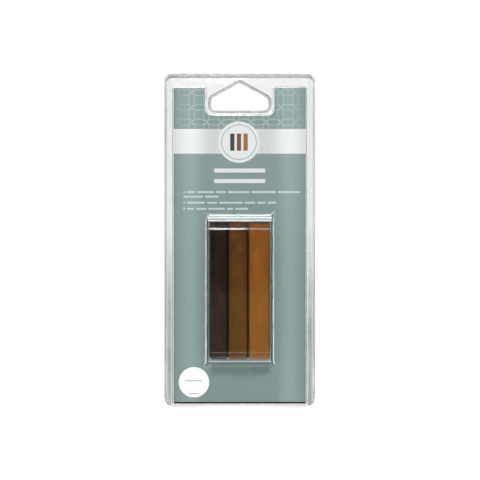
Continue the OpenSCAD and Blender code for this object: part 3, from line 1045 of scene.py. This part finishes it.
def make_printed_rule():
    tree, given, result = effect(
        "printed_rule",
        {
            "Spot": "vector", "Across": "value", "Up": "value",
            "Half Width": "value", "Half Height": "value",
        },
        {"Mask": "value"},
    )
    parts = place(tree, "ShaderNodeSeparateXYZ", {0: given["Spot"]}).outputs
    masks = []
    for axis, centre, half in (("X", "Across", "Half Width"), ("Z", "Up", "Half Height")):
        off = calc(tree, "ABSOLUTE", calc(tree, "SUBTRACT", parts[axis], given[centre]))
        over = calc(tree, "SUBTRACT", off, given[half])
        masks.append(ease(tree, over, -PRINT_SOFT, PRINT_SOFT, 1.0, 0.0))
    plug(tree, calc(tree, "MULTIPLY", *masks), result["Mask"])
    return tree


def rule_mask(tree, vector, across, up, half_width, half_height):
    return use(tree, printed_rule, {
        "Spot": vector, "Across": across, "Up": up,
        "Half Width": half_width, "Half Height": half_height,
    })["Mask"]


def inked(tree, under, mask, ink, share=1.0):
    """Lays an ink over a colour where a mask says so."""
    if share < 1.0:
        mask = calc(tree, "MULTIPLY", mask, share)
    return tint(tree, mask, under, seen_as(*ink))


printed_rule = make_printed_rule()
print("printed rule:", len(printed_rule.nodes), "nodes")

# %% [markdown]
# Printed card
#
# The card is printed on its front and bare behind. The print is worked out from the place on the
# card, so it stays sharp at any size. Its ground is sage green, with a painted reflection of two
# upright soft lights as paler bands, and painted shade along its side edges and its foot. Along the
# top runs a trellis of interlaced circles in fine pale lines: a folded square cell, and the arcs of
# the circles about its corners.

# %% Card ground and trellis
SAGE, SAGE_REFLECTED, SAGE_EDGE_SHADE = (134, 155, 152), (152, 172, 170), (112, 130, 127)
TRELLIS_INK = (186, 205, 202)
BAND_TOP, BAND_FOOT = -24.5, -37.19
REFLECTED_AT, REFLECTED_REACH = 25.3, 7.7
TRELLIS, TRELLIS_SHIFT = 7.6, (1100.0, 1104.0)
ARC, ARC_INNER, ARC_OUTER = 0.7071, 0.012, 0.040
TRELLIS_FADE, SIDE_SHADE, FOOT_SHADE = (33.0, 24.0), (32.9, 33.5), (-164.1, -164.8)
card_print, tree, shader = blank("printed_card")
vector, x, z = spot_mm(tree)
across = calc(tree, "ABSOLUTE", x)


def inside(tree, value, low, high, soft):
    """One between two edges and zero outside, with a soft change at each edge."""
    rise = ease(tree, value, low - soft, low + soft)
    fall = ease(tree, value, high - soft, high + soft, 1.0, 0.0)
    return calc(tree, "MULTIPLY", rise, fall)


cell = {"Z": 0.0}
for axis, part, shift in zip("XY", (x, z), TRELLIS_SHIFT):
    repeated = calc(tree, "FRACT", calc(tree, "DIVIDE", calc(tree, "ADD", part, shift), TRELLIS))
    cell[axis] = calc(tree, "ABSOLUTE", calc(tree, "SUBTRACT", repeated, 0.5))
folded = place(tree, "ShaderNodeCombineXYZ", cell).outputs[0]
arcs = []
for corner in ((0.5, 0.5, 0), (-0.5, 0.5, 0), (0.5, -0.5, 0)):
    off_arc = calc(tree, "SUBTRACT", vector_calc(tree, "DISTANCE", folded, corner), ARC)
    arcs.append(calc(tree, "ABSOLUTE", off_arc))
nearest = calc(tree, "MINIMUM", calc(tree, "MINIMUM", arcs[0], arcs[1]), arcs[2])
trellis = ease(tree, nearest, ARC_INNER, ARC_OUTER, 1.0, 0.0)
trellis = calc(tree, "MULTIPLY", trellis, inside(tree, z, BAND_TOP, 0.0, 0.1))
trellis = calc(tree, "MULTIPLY", trellis, ease(tree, across, *TRELLIS_FADE, 0.15, 0.75))
# Painted reflection: two paler upright bands, where two soft lights would mirror in the card.
off_reflected = calc(tree, "ABSOLUTE", calc(tree, "SUBTRACT", across, REFLECTED_AT))
# Painted shade: the card's side edges and its foot are darker.
edges = calc(tree, "MAXIMUM", ease(tree, across, *SIDE_SHADE), ease(tree, z, *FOOT_SHADE))
colour = inked(tree, seen_as(*SAGE), ease(tree, off_reflected, REFLECTED_REACH, 0.0), SAGE_REFLECTED)
colour = inked(tree, colour, trellis, TRELLIS_INK)
colour = inked(tree, colour, edges, SAGE_EDGE_SHADE)
print("card ground:", len(tree.nodes), "nodes")

# %% [markdown]
# Below the trellis lies a silvery band, whose sheen comes and goes across the card. It carries a round
# medallion with a thin ring and three bars, one for each shade of wax.

# %% Silver band and medallion
SILVER_LOW, SILVER_HIGH = seen_as(215, 217, 217), seen_as(250, 250, 250)
SHEEN_PITCH, SHEEN_SHIFT = 25.2, 0.1
MEDALLION_X, MEDALLION_Z = -0.38, -31.27
DISC_EDGE, DISC_INK = (10.48, 10.68), (236, 239, 238)
RING_EDGES, RING_INK = (8.75, 9.05), (62, 64, 64)
SHADE_STEP, SHADE_HALF = 3.4, (1.1, 4.4)
SHADE_INKS = ((58, 44, 34), (112, 72, 34), (160, 100, 44))


def away_from(tree, x, z, across, up):
    plane = place(tree, "ShaderNodeCombineXYZ", {"X": x, "Y": z, "Z": 0.0}).outputs[0]
    return vector_calc(tree, "DISTANCE", plane, (across, up, 0))


turns = calc(tree, "MULTIPLY", calc(tree, "ADD", x, SHEEN_SHIFT), 2 * math.pi / SHEEN_PITCH)
sheen = calc(tree, "MULTIPLY_ADD", calc(tree, "COSINE", turns), 0.5, 0.5)
silver = tint(tree, sheen, SILVER_LOW, SILVER_HIGH)
colour = tint(tree, inside(tree, z, BAND_FOOT, BAND_TOP, PRINT_SOFT), colour, silver)
off_medallion = away_from(tree, x, z, MEDALLION_X, MEDALLION_Z)
colour = inked(tree, colour, ease(tree, off_medallion, *DISC_EDGE, 1.0, 0.0), DISC_INK)
thin_ring = inside(tree, off_medallion, *RING_EDGES, PRINT_SOFT)
colour = inked(tree, colour, thin_ring, RING_INK, 0.75)
for step, ink in zip((-1, 0, 1), SHADE_INKS):
    bar = rule_mask(tree, vector, MEDALLION_X + step * SHADE_STEP, MEDALLION_Z, *SHADE_HALF)
    colour = inked(tree, colour, bar, ink)
print("band and medallion: now", len(tree.nodes), "nodes")

# %% [markdown]
# Plain rules fill the space above the bubble: two broad ones, then broken thin ones with round bullets.
# Each is one placing of the shared rule, so a loop over their places is enough.

# %% Rules on the card
BROAD_RULES, BROAD_HALF, BROAD_INK = (-45.8, -51.2), (13.0, 1.05), (240, 245, 244)
THIN_RULES = (  # how high, where it starts and how long its parts are
    (-56.85, -27.0, (4.2, 8.6, 5.1, 10.8, 12.4, 11.3)),
    (-59.2, -28.7, (9.8, 6.9)),
    (-62.3, -27.0, (9.2, 5.1, 12.0, 5.3, 4.2, 4.4)),
    (-65.4, -27.0, (3.6, 5.2, 8.4, 3.1, 6.6)),
)
THIN_HALF, THIN_GAP, THIN_INK = 0.5, 1.1, (222, 232, 230)
BULLET_X, BULLETS = -28.4, (-56.85, -62.3, -65.4)
BULLET_EDGE, BULLET_INK = (0.3, 0.5), (236, 242, 241)
for up in BROAD_RULES:
    colour = inked(tree, colour, rule_mask(tree, vector, 0.0, up, *BROAD_HALF), BROAD_INK, 0.9)
for up, left, lengths in THIN_RULES:
    for length in lengths:
        rule = rule_mask(tree, vector, left + length / 2, up, length / 2, THIN_HALF)
        colour = inked(tree, colour, rule, THIN_INK, 0.75)
        left += length + THIN_GAP
for up in BULLETS:
    bullet = ease(tree, away_from(tree, x, z, BULLET_X, up), *BULLET_EDGE, 1.0, 0.0)
    colour = inked(tree, colour, bullet, BULLET_INK)
print("rules: now", len(tree.nodes), "nodes")

# %% [markdown]
# A painted shadow of the bars darkens the board behind them, and a painted shadow line runs along
# the card's foot. Behind, the board is bare: the way a face looks tells the printed side from the other.

# %% Card surface
BARS_SHADOW_X, BARS_SHADOW_Z, BARS_SHADOW_SOFT, BARS_SHADOW_INK = (-15.7, 15.5), (-141.5, -71.8), 0.3, (34, 20, 10)
FOOT_SHADOW_LINE, FOOT_SHADOW_INK, BOARD = (-164.25, -164.4), (8, 16, 14), seen_as(214, 208, 196)
# Painted shadow: the board behind the wax bars is dark, so the gaps between them read black.
shadow_across, shadow_up = inside(tree, x, *BARS_SHADOW_X, BARS_SHADOW_SOFT), inside(tree, z, *BARS_SHADOW_Z, BARS_SHADOW_SOFT)
colour = inked(tree, colour, calc(tree, "MULTIPLY", shadow_across, shadow_up), BARS_SHADOW_INK, 0.92)
# Painted shadow: a dark line along the card's foot.
colour = inked(tree, colour, ease(tree, z, *FOOT_SHADOW_LINE), FOOT_SHADOW_INK)
fibre = use(tree, paper_fibre, {"Spot": vector, "Amount": 0.10})
printed = tint(tree, 1.0, colour, fibre["Shade"], "MULTIPLY")
bare_board = tint(tree, 1.0, BOARD, fibre["Shade"], "MULTIPLY")
normal = place(tree, "ShaderNodeTexCoord").outputs["Normal"]
facing = place(tree, "ShaderNodeSeparateXYZ", {0: normal}).outputs["Y"]
both_sides = tint(tree, ease(tree, facing, -0.6, -0.4), printed, bare_board)
paper_surface(tree, shader, both_sides, fibre, 0.5, 0.6)
shader.inputs["Specular IOR Level"].default_value = 0.3
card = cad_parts["card_insert"]
dress(card, card_print)
lit_directly.objects.link(card)
print("card print:", len(tree.nodes), "nodes")

# %% [markdown]
# Round label
#
# A round white label is stuck on the front. The solid of the frame already has its shape, so it only
# needs its paper: bright white, faintly fibrous and a little greyer at the very edge where it was die
# cut, with two thin rules.

# %% Label paper
label_low, label_high = span_mm("shade_label")
LABEL_X, LABEL_Z = (label_low[0] + label_high[0]) / 2, (label_low[2] + label_high[2]) / 2
LABEL_RADIUS, CUT_EDGE = (label_high[0] - label_low[0]) / 2, 0.3
LABEL_WHITE, CUT_GREY, LABEL_INK = seen_as(252, 252, 251), (214, 214, 212), (96, 94, 92)
LABEL_RULES, LABEL_RULE_X, LABEL_RULE_HALF = ((-153.4, 4.3), (-160.0, 2.4)), -23.6, 0.17
label_paper, tree, shader = blank("label_paper")
vector, x, z = spot_mm(tree)
fibre = use(tree, paper_fibre, {"Spot": vector, "Amount": 0.05})
off_label = away_from(tree, x, z, LABEL_X, LABEL_Z)
cut_edge = ease(tree, off_label, LABEL_RADIUS - CUT_EDGE, LABEL_RADIUS, 0.0, 0.25)
colour = inked(tree, LABEL_WHITE, cut_edge, CUT_GREY)
for up, half in LABEL_RULES:
    rule = rule_mask(tree, vector, LABEL_RULE_X, up, half, LABEL_RULE_HALF)
    colour = inked(tree, colour, rule, LABEL_INK, 0.8)
paper_surface(tree, shader, tint(tree, 1.0, colour, fibre["Shade"], "MULTIPLY"), fibre, 0.45, 0.55)
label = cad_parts["shade_label"]
dress(label, label_paper)
for receivers in (lit_directly, label_alone):
    receivers.objects.link(label)
print("label paper:", len(tree.nodes), "nodes")
